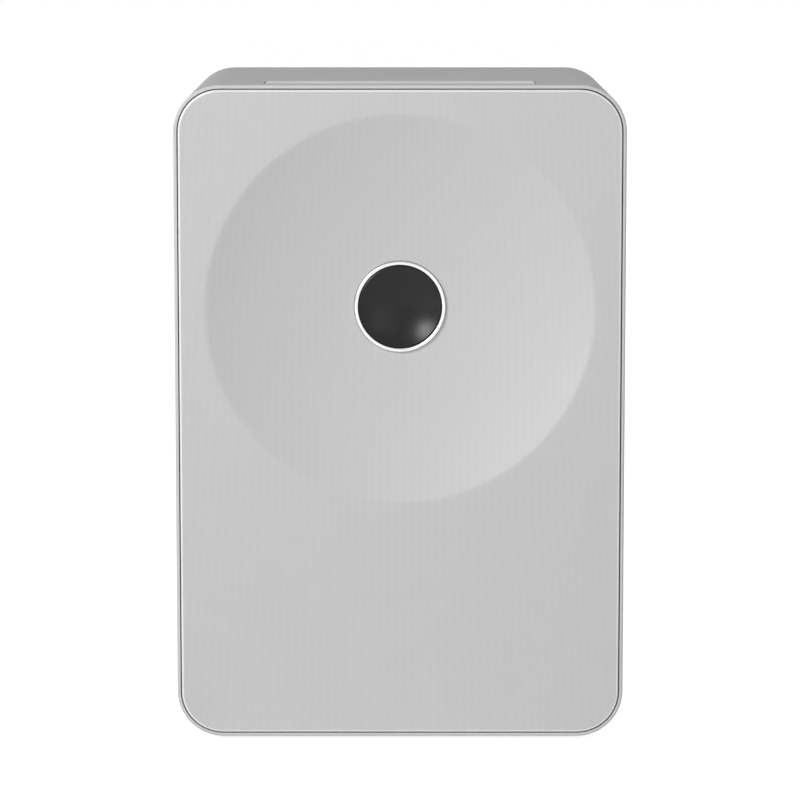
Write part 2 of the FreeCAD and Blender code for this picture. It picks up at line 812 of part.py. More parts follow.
# Corrugated spider between the former and the basket's shelf
spider_out = d["spider_shelf_radius"] - d["fit_gap"]
spider_land = spider_out - d["spider_land"]
spider_step = (spider_land - neck) / SPIDER_BENDS
spider_levels = [shelf_level + d["spider_trough"], shelf_level + d["spider_crest"]]
spider_wave = [(neck + spider_step * index, spider_levels[index % 2]) for index in range(SPIDER_BENDS)]
spider_top = [(radius, level + d["spider_sheet"]) for radius, level in reversed(spider_wave)]
land_top = shelf_level + d["spider_sheet"]
turned("woofer_spider", spider_wave + [
    (spider_land, shelf_level), (spider_out, shelf_level), (spider_out, land_top), (spider_land, land_top),
] + spider_top, **woofer_at)

gap_outer = former_out + d["winding"] + d["coil_gap"]
top_plate_back = basket_back - d["top_plate"]
magnet_back = top_plate_back - d["magnet_depth"]
motor_end = magnet_back - d["back_plate"]
turned("woofer_top_plate", [
    (gap_outer, top_plate_back), (d["top_plate_radius"], top_plate_back),
    (d["top_plate_radius"], basket_back), (gap_outer, basket_back),
], **woofer_at)
turned("woofer_magnet", [
    (d["magnet_bore"], magnet_back), (d["magnet_radius"], magnet_back), (d["magnet_radius"], top_plate_back),
    (d["magnet_bore"], top_plate_back),
], **woofer_at)
turned("woofer_back_plate", [
    (d["pole_vent_radius"], motor_end), (d["top_plate_radius"], motor_end),
    (d["top_plate_radius"], magnet_back), (d["pole_radius"], magnet_back), (d["pole_radius"], basket_back),
    (d["pole_vent_radius"], basket_back),
], **woofer_at)


# Tweeter, drawn from the baffle's face, which is level 0

tweeter_at = {"up": d["tweeter_up"], "forward": baffle_front}
throat = -d["throat_depth"]
throat_radius = d["dome_radius"] + d["dome_margin"]
seat_level = throat - d["dome_seat"]
dome_edge = throat_radius - d["dome_gap"]
chamfer = d["tweeter_chamfer"]
tweeter_plate = turned("tweeter_plate", [
    (d["tweeter_motor_radius"], 0), (d["tweeter_radius"], 0),
    (d["tweeter_radius"], d["tweeter_flange"] - chamfer),
    (d["tweeter_radius"] - chamfer, d["tweeter_flange"]),
    (d["tweeter_mouth"], d["tweeter_flange"]), (throat_radius, throat, "left", d["horn_radius"]),
    (throat_radius, seat_level), (d["tweeter_motor_radius"], seat_level),
], **tweeter_at)
sketch = new_sketch(tweeter_plate, offset=d["tweeter_flange"])
for x, up in on_circle(d["tweeter_screw_circle"], TWEETER_SCREW_ANGLES):
    draw_circle(sketch, x, up, screw_hole)
cut(tweeter_plate, sketch, d["tweeter_flange"])

dome_foot = seat_level + d["dome_sheet"]
dome_ball = ball_radius(d["dome_radius"], d["dome_height"])
dome_inner_ball = dome_ball - d["dome_sheet"]
dome_inner = leg(dome_inner_ball, dome_ball - d["dome_height"])
turned("tweeter_dome", [
    (dome_edge, seat_level), (dome_edge, dome_foot), (d["dome_radius"], dome_foot),
    (0, dome_foot + d["dome_height"], "left", dome_ball), (0, dome_foot + d["dome_height"] - d["dome_sheet"]),
    (dome_inner, dome_foot, "right", dome_inner_ball), (dome_inner, seat_level),
], **tweeter_at)
motor_radius = d["tweeter_motor_radius"]
motor_back = seat_level - d["tweeter_motor_depth"]
step = d["tweeter_motor_step"]
turned("tweeter_motor", [
    (0, motor_back), (motor_radius - step * 2, motor_back), (motor_radius - step, motor_back + step),
    (motor_radius - step, seat_level - step), (motor_radius, seat_level - step), (motor_radius, seat_level),
    (0, seat_level),
], **tweeter_at)


# Bridge behind the dish that carries the dial: a cup on three arms that follow the dish

dial_at = {"up": dish_up}
cup_inner = d["dial_opening"]
cup_outer = cup_inner + d["cup_wall"]
face_rim = dish_level(d["dial_radius"]) + d["dial_proud"]
knob_front = face_rim - d["face_hollow"] - d["face_base"]
knob_back = knob_front - d["knob_wall"]
skirt_back = face_rim - d["knob_skirt"]
encoder_front = knob_back - d["push_travel"] - d["encoder_room"]
encoder_back = encoder_front - d["encoder_height"]
cup_back = encoder_back - d["cup_floor"]
behind = d["grille_sheet"] + d["fit_gap"]
arm_end = d["arm_post_circle"] + d["arm_post_radius"]

arm_start = cup_outer - d["cup_bite"]
arm_back = behind + d["arm_thickness"]
bridge = turned("dial_bridge", [
    (arm_start, dish_level(arm_start, arm_back)),
    (arm_end, dish_level(arm_end, arm_back), "left", sphere_radius + arm_back),
    (arm_end, dish_level(arm_end, behind)),
    (arm_start, dish_level(arm_start, behind), "right", sphere_radius + behind),
], **dial_at)
# What lies between the arms is cut away
arm_half = d["arm_width"] / 2
wedge_tip = arm_half / math.sin(math.radians(60))
wedge_far = arm_end * 1.6
along, aside = math.cos(math.radians(30)), math.sin(math.radians(30))
sketch = new_sketch(bridge, offset=front)
draw_outline(sketch, [
    (arm_half, wedge_tip / 2),
    (wedge_far * along + arm_half * aside, arm_half * along - wedge_far * aside),
    (wedge_far * 1.2, wedge_far),
    (arm_half, wedge_far),
])
wedge = cut(bridge, sketch, d["baffle_setback"])
repeat_round(bridge, wedge, sketch, THREE_ARMS)
sketch = new_sketch(bridge, "XZ_Plane")
draw_outline(sketch, [
    (0, cup_back), (cup_outer, cup_back), (cup_outer, dish_level(cup_outer, behind)),
    (cup_inner, dish_level(cup_inner, behind)), (cup_inner, encoder_back), (0, encoder_back),
])
revolve(bridge, sketch)
sketch = new_sketch(bridge, offset=baffle_front)
for x, up in on_circle(d["arm_post_circle"], arm_angles):
    draw_circle(sketch, x, up, d["arm_post_radius"])
pad(bridge, sketch, dish_level(d["arm_post_circle"], behind + d["arm_thickness"] / 2) - baffle_front)
sketch = new_sketch(bridge, offset=baffle_front)
for x, up in on_circle(d["arm_post_circle"], arm_angles):
    draw_circle(sketch, x, up, screw_hole)
cut(bridge, sketch, d["screw_bite"] + d["screw_room"], along_normal=True)


# Dial: encoder, push plunger, shaft, knob, dark face and bright bezel

encoder = new_body("encoder_body", **dial_at)
sketch = new_sketch(encoder, offset=encoder_back)
draw_box(sketch, d["encoder_side"], d["encoder_side"])
pad(encoder, sketch, d["encoder_height"])
sketch = new_sketch(encoder, offset=encoder_front)
draw_circle(sketch, 0, 0, d["shaft_radius"] + d["shaft_gap"])
cut(encoder, sketch, d["encoder_height"] - d["encoder_floor"])

plunger_back = encoder_back + d["encoder_floor"] + d["push_travel"] + d["stop_gap"]
shaft_back = plunger_back + d["plunger_height"]
turned("push_plunger", [
    (0, plunger_back), (d["shaft_radius"], plunger_back), (d["shaft_radius"], shaft_back), (0, shaft_back),
], **dial_at)
shaft_front = knob_back + d["knob_wall"] / 2
turned("dial_shaft", [
    (0, shaft_back), (d["shaft_radius"], shaft_back), (d["shaft_radius"], shaft_front), (0, shaft_front),
], **dial_at)

bezel_inner = d["dial_radius"] - d["bezel_width"]
bezel_back = face_rim - d["bezel_height"]
skirt_outer = d["dial_radius"] - d["knob_skirt_gap"]
skirt_inner = bezel_inner - d["face_gap"]
hub_radius = d["knob_hub_radius"]
hub_back = knob_back - d["knob_hub_depth"]
turned("dial_knob", [
    (0, shaft_front), (d["shaft_radius"], shaft_front), (d["shaft_radius"], hub_back),
    (hub_radius, hub_back), (hub_radius, knob_back), (skirt_inner, knob_back), (skirt_inner, skirt_back),
    (skirt_outer, skirt_back), (skirt_outer, bezel_back), (skirt_inner, bezel_back),
    (skirt_inner, knob_front), (0, knob_front),
], **dial_at)
face_radius = bezel_inner - d["face_gap"]
face_front = face_rim - d["bezel_lift"]
bezel_front = face_rim + d["bezel_lift"]
face_ball = ball_radius(face_radius, d["face_hollow"])
turned("dial_face", [
    (0, knob_front), (face_radius, knob_front), (face_radius, face_front),
    (0, face_front - d["face_hollow"], "right", face_ball),
], **dial_at)
turned("dial_bezel", [
    (bezel_inner, bezel_back), (d["dial_radius"], bezel_back),
    (d["dial_radius"], bezel_front - d["bezel_outer_chamfer"]),
    (d["dial_radius"] - d["bezel_outer_chamfer"], bezel_front),
    (bezel_inner + d["bezel_inner_chamfer"], bezel_front),
    (bezel_inner, bezel_front - d["bezel_inner_chamfer"]),
], **dial_at)


# Bass port in the back wall

flare = d["port_flare"]
bore = d["port_bore"]
tube = bore + d["port_wall"]
flange_level = inner_back + d["port_flange_sheet"]
turned("port_tube", [
    (bore, rear + d["port_length"]), (bore, rear + flare), (bore + flare, rear, "right", flare),
    (port_mouth, rear), (port_mouth, inner_back), (port_mouth + d["port_flange"], inner_back),
    (port_mouth + d["port_flange"], flange_level), (port_mouth, flange_level),
    (tube, flange_level + port_mouth - tube), (tube, rear + d["port_length"]),
], up=port_up)


# Rear plate with a sunken bay for the connectors

standoff_x = d["board_width"] / 2 - d["standoff_inset"]
standoff_up = d["board_height"] / 2 - d["standoff_inset"]
standoff_places = [(standoff_x * side, d["plate_up"] + standoff_up * end)
                   for side in (-1, 1) for end in (-1, 1)]
bay_floor = rear + d["bay_depth"]
bay_inside = bay_floor + d["bay_wall"]
button_hole = d["button_radius"] + d["fit_gap"]

plate = new_body("rear_plate")
sketch = new_sketch(plate, offset=rear)
draw_box(sketch, d["plate_width"], d["plate_height"], Size.of(0), d["plate_up"], d["plate_corner"])
pad(plate, sketch, d["plate_thickness"])
sketch = new_sketch(plate, offset=plate_inside)
draw_box(sketch, d["bay_width"] + d["bay_wall"] * 2, d["bay_height"] + d["bay_wall"] * 2,
         Size.of(0), d["bay_up"], d["bay_corner"] + d["bay_wall"])
pad(plate, sketch, bay_inside - plate_inside)
sketch = new_sketch(plate, offset=plate_inside)
for x, up in standoff_places:
    draw_circle(sketch, x, up, d["standoff_radius"])
pad(plate, sketch, d["board_standoff"])
sketch = new_sketch(plate, offset=bay_floor)
draw_box(sketch, d["bay_width"], d["bay_height"], Size.of(0), d["bay_up"], d["bay_corner"])
cut(plate, sketch, d["bay_depth"])
sketch = new_sketch(plate, offset=bay_inside)
draw_box(sketch, d["inlet_width"] + d["fit_gap"], d["inlet_height"] + d["fit_gap"], d["inlet_x"], d["bay_up"],
         d["bay_corner"])
draw_circle(sketch, d["jack_x"], d["bay_up"], d["jack_radius"] + d["fit_gap"] / 2)
draw_circle(sketch, d["button_x"], d["bay_up"], button_hole)
cut(plate, sketch, d["bay_wall"])
sketch = new_sketch(plate, offset=plate_inside)
for x, up in plate_screw_places:
    draw_circle(sketch, x, up, screw_hole)
cut(plate, sketch, d["plate_thickness"])
sketch = new_sketch(plate, offset=rear + d["plate_screw_sink"])
for x, up in plate_screw_places:
    draw_circle(sketch, x, up, d["screw_head_radius"] + d["fit_gap"])
cut(plate, sketch, d["plate_screw_sink"])
sketch = new_sketch(plate, offset=board_rear)
for x, up in standoff_places:
    draw_circle(sketch, x, up, screw_hole)
cut(plate, sketch, d["screw_bite"] + d["screw_room"])


# Connectors and setup button, standing on the board and reaching out through the bay

inlet_rear = bay_floor - d["inlet_proud"]
inlet = block("mains_inlet", d["inlet_width"], d["inlet_height"], board_rear - inlet_rear,
              d["inlet_x"], d["bay_up"], inlet_rear, d["bay_corner"])
inlet_floor = inlet_rear + d["inlet_depth"]
cavity_height = d["inlet_height"] - d["inlet_wall"] * 2
sketch = new_sketch(inlet, offset=inlet_floor)
draw_box(sketch, d["inlet_width"] - d["inlet_wall"] * 2, cavity_height, d["inlet_x"], d["bay_up"],
         cavity_height / 2 - d["glue_gap"] * 2)
cut(inlet, sketch, d["inlet_depth"])
for name, side in (("left", 1), ("right", -1)):
    contact = new_body(f"inlet_contact_{name}")
    sketch = new_sketch(contact, offset=inlet_rear + d["inlet_pin_setback"])
    draw_circle(sketch, d["inlet_x"] + d["inlet_pin_pitch"] / 2 * side, d["bay_up"], d["inlet_pin_radius"])
    pad(contact, sketch, d["inlet_depth"] - d["inlet_pin_setback"])

jack = new_body("line_in_jack")
sketch = new_sketch(jack, offset=inlet_rear)
draw_circle(sketch, d["jack_x"], d["bay_up"], d["jack_radius"])
pad(jack, sketch, board_rear - inlet_rear)
sketch = new_sketch(jack, offset=inlet_rear + d["jack_depth"])
draw_circle(sketch, d["jack_x"], d["bay_up"], d["jack_bore"])
cut(jack, sketch, d["jack_depth"])

button_rear = bay_floor - d["button_proud"]
button_front = button_rear + d["button_height"]
button = new_body("setup_button")
sketch = new_sketch(button, offset=button_rear)
draw_circle(sketch, d["button_x"], d["bay_up"], d["button_radius"])
pad(button, sketch, d["button_height"])
switch_rear = button_front + d["button_travel"] + d["stop_gap"]
block("setup_switch", d["switch_side"], d["switch_side"], board_rear - switch_rear,
      d["button_x"], d["bay_up"], switch_rear)


# Main board and the parts that stand on it

board = new_body("main_board")
sketch = new_sketch(board, offset=board_rear)
draw_box(sketch, d["board_width"], d["board_height"], Size.of(0), d["plate_up"])
for x, up in standoff_places:
    draw_circle(sketch, x, up, screw_hole)
pad(board, sketch, d["board_thickness"])

sink = block("heat_sink", d["sink_width"], d["sink_height"], d["sink_base"],
             d["sink_x"], d["sink_up"], board_front)
fin_pitch = (d["sink_width"] - d["sink_fin"]) / (FIN_COUNT - 1)
sketch = new_sketch(sink, offset=board_front + d["sink_base"])
for index in range(FIN_COUNT):
    fin_x = d["sink_x"] - d["sink_width"] / 2 + d["sink_fin"] / 2 + fin_pitch * index
    draw_box(sketch, d["sink_fin"], d["sink_height"], fin_x, d["sink_up"])
pad(sink, sketch, d["sink_depth"] - d["sink_base"])

for name, row in (("upper", 0), ("lower", 1)):
    capacitor = new_body(f"capacitor_{name}")
    sketch = new_sketch(capacitor, offset=board_front)
    capacitor_up = d["capacitor_up"] - d["capacitor_pitch"] * row
    draw_circle(sketch, d["capacitor_x"], capacitor_up, d["capacitor_radius"])
    pad(capacitor, sketch, d["capacitor_length"])
block("transformer", d["transformer_width"], d["transformer_height"], d["transformer_depth"],
      d["transformer_x"], d["transformer_up"], board_front)
block("radio_module", d["radio_width"], d["radio_height"], d["radio_depth"],
      d["radio_x"], d["radio_up"], board_front)


# Touch panel let into the cabinet's top, and its board under the top wall, in front of the baffle

touch = new_body("touch_panel")
sketch = new_sketch(touch, "XZ_Plane", -top_up)
draw_box(sketch, d["touch_width"], d["touch_depth"], Size.of(0), touch_z, d["touch_corner"])
pad(touch, sketch, d["touch_thickness"])
touch_board = new_body("touch_board")
touch_board_rear = baffle_front + d["fit_gap"] * 2
touch_board_depth = front - d["touch_setback"] - d["touch_board_inset"] - touch_board_rear
sketch = new_sketch(touch_board, "XZ_Plane", d["wall"] - top_up)
draw_box(sketch, d["touch_width"], touch_board_depth, Size.of(0), touch_board_rear + touch_board_depth / 2)
pad(touch_board, sketch, d["touch_board_thickness"])


# Feet

for name, (x, z) in zip(("rear_left", "front_left", "rear_right", "front_right"), foot_places):
    foot = new_body(f"foot_{name}")
    sketch = new_sketch(foot, "XZ_Plane", -(d["foot_lift"] + d["foot_seat"]))
    draw_circle(sketch, x, z, d["foot_radius"])
    pad(foot, sketch, d["foot_lift"] + d["foot_seat"])


# Screws

plate_screw_through = d["plate_thickness"] - d["plate_screw_sink"]
woofer_screw_seat = baffle_front + d["gasket"] + d["woofer_flange"]
screws("woofer_screws", woofer_screw_places, woofer_screw_seat, d["gasket"] + d["woofer_flange"], False)
screws("tweeter_screws", tweeter_screw_places, baffle_front + d["tweeter_flange"], d["tweeter_flange"], False)
screws("baffle_screws", post_places, baffle_front, d["baffle_thickness"], False)
screws("bridge_screws", arm_places, baffle_back, d["baffle_thickness"], True)
screws("plate_screws", plate_screw_places, rear + d["plate_screw_sink"], plate_screw_through, True)
screws("board_screws", standoff_places, board_front, d["board_thickness"], False)


# Check every piece and write it out

doc.recompute()
for thing in doc.Objects:
    if "Invalid" in thing.State or "Error" in thing.State:
        raise RuntimeError(f"{thing.Label} did not build")
os.makedirs("parts", exist_ok=True)
for piece in pieces:
    if piece.Shape.isNull() or not piece.Shape.isValid():
        raise RuntimeError(f"{piece.Label} has no valid shape")
    piece.Shape.exportStep(f"parts/{piece.Label}.step")
    box = piece.Shape.BoundBox
    size = f"{box.XLength:.2f} x {box.YLength:.2f} x {box.ZLength:.2f}"
    print(f"{piece.Label}: {len(piece.Shape.Solids)} solid, {size}")
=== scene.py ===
import bpy
import bmesh
import json
import math
from mathutils import Matrix, Vector


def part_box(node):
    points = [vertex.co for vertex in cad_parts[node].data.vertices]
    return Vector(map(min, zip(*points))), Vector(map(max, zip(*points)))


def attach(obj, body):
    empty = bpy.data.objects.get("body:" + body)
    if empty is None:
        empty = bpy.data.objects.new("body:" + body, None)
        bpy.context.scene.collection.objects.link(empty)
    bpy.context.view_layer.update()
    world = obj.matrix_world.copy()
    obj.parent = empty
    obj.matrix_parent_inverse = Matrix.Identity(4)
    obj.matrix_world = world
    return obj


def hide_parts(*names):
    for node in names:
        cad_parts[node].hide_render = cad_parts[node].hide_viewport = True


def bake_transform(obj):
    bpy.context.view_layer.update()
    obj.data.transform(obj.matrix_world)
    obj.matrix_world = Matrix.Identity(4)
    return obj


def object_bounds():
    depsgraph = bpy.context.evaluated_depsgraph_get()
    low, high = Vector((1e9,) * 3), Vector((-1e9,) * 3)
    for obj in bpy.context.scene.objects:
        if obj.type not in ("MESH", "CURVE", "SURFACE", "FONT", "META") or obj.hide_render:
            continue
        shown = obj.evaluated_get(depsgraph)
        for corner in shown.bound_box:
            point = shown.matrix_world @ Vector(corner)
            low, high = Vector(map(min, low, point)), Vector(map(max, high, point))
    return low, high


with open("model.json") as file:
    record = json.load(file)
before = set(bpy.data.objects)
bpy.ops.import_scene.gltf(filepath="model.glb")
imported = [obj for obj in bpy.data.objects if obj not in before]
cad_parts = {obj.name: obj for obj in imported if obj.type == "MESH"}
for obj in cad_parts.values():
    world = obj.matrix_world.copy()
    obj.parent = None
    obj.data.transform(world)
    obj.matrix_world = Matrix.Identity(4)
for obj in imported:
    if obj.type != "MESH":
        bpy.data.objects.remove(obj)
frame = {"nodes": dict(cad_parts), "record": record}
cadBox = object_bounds()
print("frame loaded")


# Small helpers

mergeGap = 1e-6                     # metres; points nearer than this are one


def millimetres(value):
    return value / 1000


def cornersOf(nodeName):
    low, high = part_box(nodeName)
    return Vector(low), Vector(high)


def middleOf(nodeName):
    low, high = cornersOf(nodeName)
    return (low + high) / 2


def vertsIn(geometry):
    return [item for item in geometry if isinstance(item, bmesh.types.BMVert)]


def linkedObject(name, data):
    thing = bpy.data.objects.new(name, data)
    bpy.context.scene.collection.objects.link(thing)
    return thing


def addPiece(name, mesh, nodeName):
    # stands for a CAD node, and takes its finish
    piece = linkedObject(name, mesh)
    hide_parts(nodeName)
    piece.data.materials.append(finishes[slotOf[nodeName]])
    return piece


def addRidingPiece(name, mesh, nodeName):
    piece = addPiece(name, mesh, nodeName)
    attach(piece, bodyOf[nodeName])
    return piece


def meshFrom(name, bm, smoothAngle=40):
    # smooth all over, apart from edges sharper than the angle
    bm.normal_update()
    for face in bm.faces:
        face.smooth = True
    for edge in bm.edges:
        edge.smooth = len(edge.link_faces) == 2 and edge.calc_face_angle(0) < math.radians(smoothAngle)
    mesh = bpy.data.meshes.new(name)
    bm.to_mesh(mesh)
    bm.free()
    return mesh


def weighted(piece):
    # flat faces keep their own normal beside a round
    piece.modifiers.new("flatFacesFirst", "WEIGHTED_NORMAL").keep_sharp = True


softRound = {"segments": 3, "sharperThan": 40}


def rounded(piece, width):
    bevel = piece.modifiers.new("softEdge", "BEVEL")
    bevel.width = width
    bevel.segments = softRound["segments"]
    bevel.limit_method = "ANGLE"
    bevel.angle_limit = math.radians(softRound["sharperThan"])
    bevel.harden_normals = False


def profileEdges(bm, points):
    # a chain of edges through (radius, forward) points, in the plane x, -y
    verts = [bm.verts.new((radius, -forward, 0)) for radius, forward in points]
    return verts, [bm.edges.new(pair) for pair in zip(verts, verts[1:])]


def fullTurn(bm, geometry, centre, steps):
    # about the axis that runs front to back
    bmesh.ops.spin(bm, geom=geometry, cent=centre, axis=(0, 1, 0), angle=math.tau, steps=steps,
                   use_merge=True)


def turnedPiece(name, points, middle, nodeName, steps):
    # a profile in (radius, forward), turned about the node's own axis
    centre = Vector((middle.x, 0, middle.z))
    bm = bmesh.new()
    verts, edges = profileEdges(bm, points)
    bmesh.ops.translate(bm, verts=verts, vec=centre)
    fullTurn(bm, verts + edges, centre, steps)
    bmesh.ops.remove_doubles(bm, verts=bm.verts, dist=mergeGap)
    bmesh.ops.recalc_face_normals(bm, faces=bm.faces)
    addRidingPiece(name, meshFrom(name, bm), nodeName)


def arcPoints(centre, radius, startDegrees, endDegrees, steps):
    turns = [math.radians(startDegrees + (endDegrees - startDegrees) * i / steps) for i in range(steps + 1)]
    return [(centre[0] + radius * math.cos(t), centre[1] + radius * math.sin(t)) for t in turns]


# Shader groups that several finishes share

def newGroup(name, inputs, outputs):
    group = bpy.data.node_groups.new(name, "ShaderNodeTree")
    for label, kind, value in inputs:
        group.interface.new_socket(name=label, in_out="INPUT", socket_type=kind).default_value = value
    for label, kind in outputs:
        group.interface.new_socket(name=label, in_out="OUTPUT", socket_type=kind)
    return group, group.nodes.new("NodeGroupInput"), group.nodes.new("NodeGroupOutput")


def feed(tree, socket, value):
    # a number or a vector is set, anything else is a socket to link
    if isinstance(value, (int, float, tuple)):
        socket.default_value = value
    else:
        tree.links.new(value, socket)


def mathNode(tree, operation, first, second):
    node = tree.nodes.new("ShaderNodeMath")
    node.operation = operation
    feed(tree, node.inputs[0], first)
    feed(tree, node.inputs[1], second)
    return node.outputs["Value"]


def vectorNode(tree, operation, first, second=None):
    node = tree.nodes.new("ShaderNodeVectorMath")
    node.operation = operation
    feed(tree, node.inputs[0], first)
    if second is not None:
        feed(tree, node.inputs[1], second)
    return node.outputs["Value" if operation == "LENGTH" else "Vector"]


def noiseNode(tree, vector, scale, detail, roughness):
    node = tree.nodes.new("ShaderNodeTexNoise")
    node.inputs["Detail"].default_value = detail
    node.inputs["Roughness"].default_value = roughness
    feed(tree, node.inputs["Vector"], vector)
    feed(tree, node.inputs["Scale"], scale)
    return node.outputs["Fac"]


def rangeNode(tree, value, fromLow, fromHigh, toLow, toHigh, smooth=False):
    node = tree.nodes.new("ShaderNodeMapRange")
    node.interpolation_type = "SMOOTHSTEP" if smooth else "LINEAR"
    feed(tree, node.inputs["Value"], value)
    feed(tree, node.inputs["From Min"], fromLow)
    feed(tree, node.inputs["From Max"], fromHigh)
    feed(tree, node.inputs["To Min"], toLow)
    feed(tree, node.inputs["To Max"], toHigh)
    return node.outputs["Result"]


def shadeNode(tree, colour, factor):
    # multiplies a colour by a factor
    scaled = tree.nodes.new("ShaderNodeVectorMath")
    scaled.operation = "SCALE"
    tree.links.new(colour, scaled.inputs[0])
    tree.links.new(factor, scaled.inputs["Scale"])
    return scaled.outputs["Vector"]


noiseMiddle = (0.3, 0.7)            # the part of a noise's range that its values fill
grainGroup = {
    "grainDetail": 3, "grainRoughness": 0.6, "speck": 0.03,
    "driftScale": 38, "driftDetail": 3, "driftRoughness": 0.55, "glossRange": (0.35, 0.65),
}


def buildGrainGroup():
    # moulded or painted surface: a fine grain for the bump, a slow drift in colour and gloss
    group, given, result = newGroup("surfaceGrain", [
        ("Vector", "NodeSocketVector", (0, 0, 0)), ("Colour", "NodeSocketColor", (0.5, 0.5, 0.5, 1)),
        ("Grain Scale", "NodeSocketFloat", 2500), ("Drift", "NodeSocketFloat", 0.06),
        ("Gloss Low", "NodeSocketFloat", 0.4), ("Gloss High", "NodeSocketFloat", 0.5),
    ], [("Colour", "NodeSocketColor"), ("Roughness", "NodeSocketFloat"), ("Height", "NodeSocketFloat")])
    grain = noiseNode(group, given.outputs["Vector"], given.outputs["Grain Scale"],
                      grainGroup["grainDetail"], grainGroup["grainRoughness"])
    slow = noiseNode(group, given.outputs["Vector"], grainGroup["driftScale"],
                     grainGroup["driftDetail"], grainGroup["driftRoughness"])
    lowShade = mathNode(group, "SUBTRACT", 1, given.outputs["Drift"])
    highShade = mathNode(group, "ADD", 1, given.outputs["Drift"])
    drift = rangeNode(group, slow, *noiseMiddle, lowShade, highShade)
    speck = rangeNode(group, grain, *noiseMiddle, 1 - grainGroup["speck"], 1 + grainGroup["speck"])
    shade = mathNode(group, "MULTIPLY", drift, speck)
    group.links.new(shadeNode(group, given.outputs["Colour"], shade), result.inputs["Colour"])
    gloss = rangeNode(group, slow, *grainGroup["glossRange"],
                      given.outputs["Gloss Low"], given.outputs["Gloss High"])
    group.links.new(gloss, result.inputs["Roughness"])
    group.links.new(grain, result.inputs["Height"])
    return group


def buildPinholeGroup():
    # staggered upright rows of round holes seen from the front, as a mask and a height
    group, given, result = newGroup("pinholeRows", [
        ("Vector", "NodeSocketVector", (0, 0, 0)), ("Pitch", "NodeSocketFloat", 0.001),
        ("Hole", "NodeSocketFloat", 0.3), ("Softness", "NodeSocketFloat", 0.08),
    ], [("Hole", "NodeSocketFloat"), ("Height", "NodeSocketFloat")])
    rowShare = math.sqrt(3)
    along = mathNode(group, "DIVIDE", 1, given.outputs["Pitch"])
    across = mathNode(group, "DIVIDE", along, rowShare)
    scale = group.nodes.new("ShaderNodeCombineXYZ")
    group.links.new(across, scale.inputs["X"])
    group.links.new(along, scale.inputs["Z"])
    cells = vectorNode(group, "MULTIPLY", given.outputs["Vector"], scale.outputs["Vector"])
    halfCell = (0.5, 0, 0.5)
    nearest = []
    for offset in ((0, 0, 0), halfCell):
        moved = vectorNode(group, "ADD", cells, offset)
        inside = vectorNode(group, "SUBTRACT", vectorNode(group, "FRACTION", moved), halfCell)
        nearest.append(vectorNode(group, "LENGTH", vectorNode(group, "MULTIPLY", inside, (rowShare, 0, 1))))
    distance = mathNode(group, "MINIMUM", nearest[0], nearest[1])
    edge = mathNode(group, "ADD", given.outputs["Hole"], given.outputs["Softness"])
    solid = rangeNode(group, distance, given.outputs["Hole"], edge, 0, 1, smooth=True)
    group.links.new(solid, result.inputs["Height"])
    group.links.new(mathNode(group, "SUBTRACT", 1, solid), result.inputs["Hole"])
    return group


turnedGroup = {"detail": 2, "roughness": 0.6, "shade": 0.08, "depth": millimetres(0.03)}


def buildTurnedGroup():
    # fine rings about the piece's own axis, as a lathe or a spinning pad leaves them
    group, given, result = newGroup("turnedRings", [
        ("Vector", "NodeSocketVector", (0, 0, 0)), ("Colour", "NodeSocketColor", (0.5, 0.5, 0.5, 1)),
        ("Rings", "NodeSocketFloat", 4000), ("Gloss Low", "NodeSocketFloat", 0.3),
        ("Gloss High", "NodeSocketFloat", 0.4),
    ], [("Colour", "NodeSocketColor"), ("Roughness", "NodeSocketFloat"), ("Height", "NodeSocketFloat")])
    flat = vectorNode(group, "MULTIPLY", given.outputs["Vector"], (1, 0, 1))
    radius = vectorNode(group, "LENGTH", flat)
    line = group.nodes.new("ShaderNodeCombineXYZ")
    group.links.new(mathNode(group, "MULTIPLY", radius, given.outputs["Rings"]), line.inputs["X"])
    rings = noiseNode(group, line.outputs["Vector"], 1, turnedGroup["detail"], turnedGroup["roughness"])
    shade = rangeNode(group, rings, *noiseMiddle, 1 - turnedGroup["shade"], 1 + turnedGroup["shade"])
    group.links.new(shadeNode(group, given.outputs["Colour"], shade), result.inputs["Colour"])
    gloss = rangeNode(group, rings, *noiseMiddle, given.outputs["Gloss Low"], given.outputs["Gloss High"])
    group.links.new(gloss, result.inputs["Roughness"])
    group.links.new(rings, result.inputs["Height"])
    return group


surfaceGrain = buildGrainGroup()
pinholeRows = buildPinholeGroup()
turnedRings = buildTurnedGroup()
print("shader groups built")


# Finishes

def newFinish(name):
    finish = bpy.data.materials.new(name)
    finish.use_nodes = True
    tree = finish.node_tree
    shader = tree.nodes["Principled BSDF"]
    place = tree.nodes.new("ShaderNodeTexCoord").outputs["Object"]
    return finish, tree, shader, place


def placeGroup(tree, group, place, **values):
    node = tree.nodes.new("ShaderNodeGroup")
    node.node_tree = group
    tree.links.new(place, node.inputs["Vector"])
    for label, value in values.items():
        node.inputs[label].default_value = value
    return node


def centredOn(tree, place, centre):
    mapping = tree.nodes.new("ShaderNodeMapping")
    mapping.inputs["Location"].default_value = -Vector(centre)
    tree.links.new(place, mapping.inputs["Vector"])
    return mapping.outputs["Vector"]


def bumpFrom(tree, shader, height, strength, depth):
    bump = tree.nodes.new("ShaderNodeBump")
    bump.inputs["Strength"].default_value = strength
    bump.inputs["Distance"].default_value = depth
    tree.links.new(height, bump.inputs["Height"])
    tree.links.new(bump.outputs["Normal"], shader.inputs["Normal"])


def placeGrain(tree, place, look):
    return placeGroup(tree, surfaceGrain, place, **{
        "Colour": (*look["colour"], 1), "Grain Scale": look["grain"], "Drift": look["drift"],
        "Gloss Low": look["gloss"][0], "Gloss High": look["gloss"][1],
    })


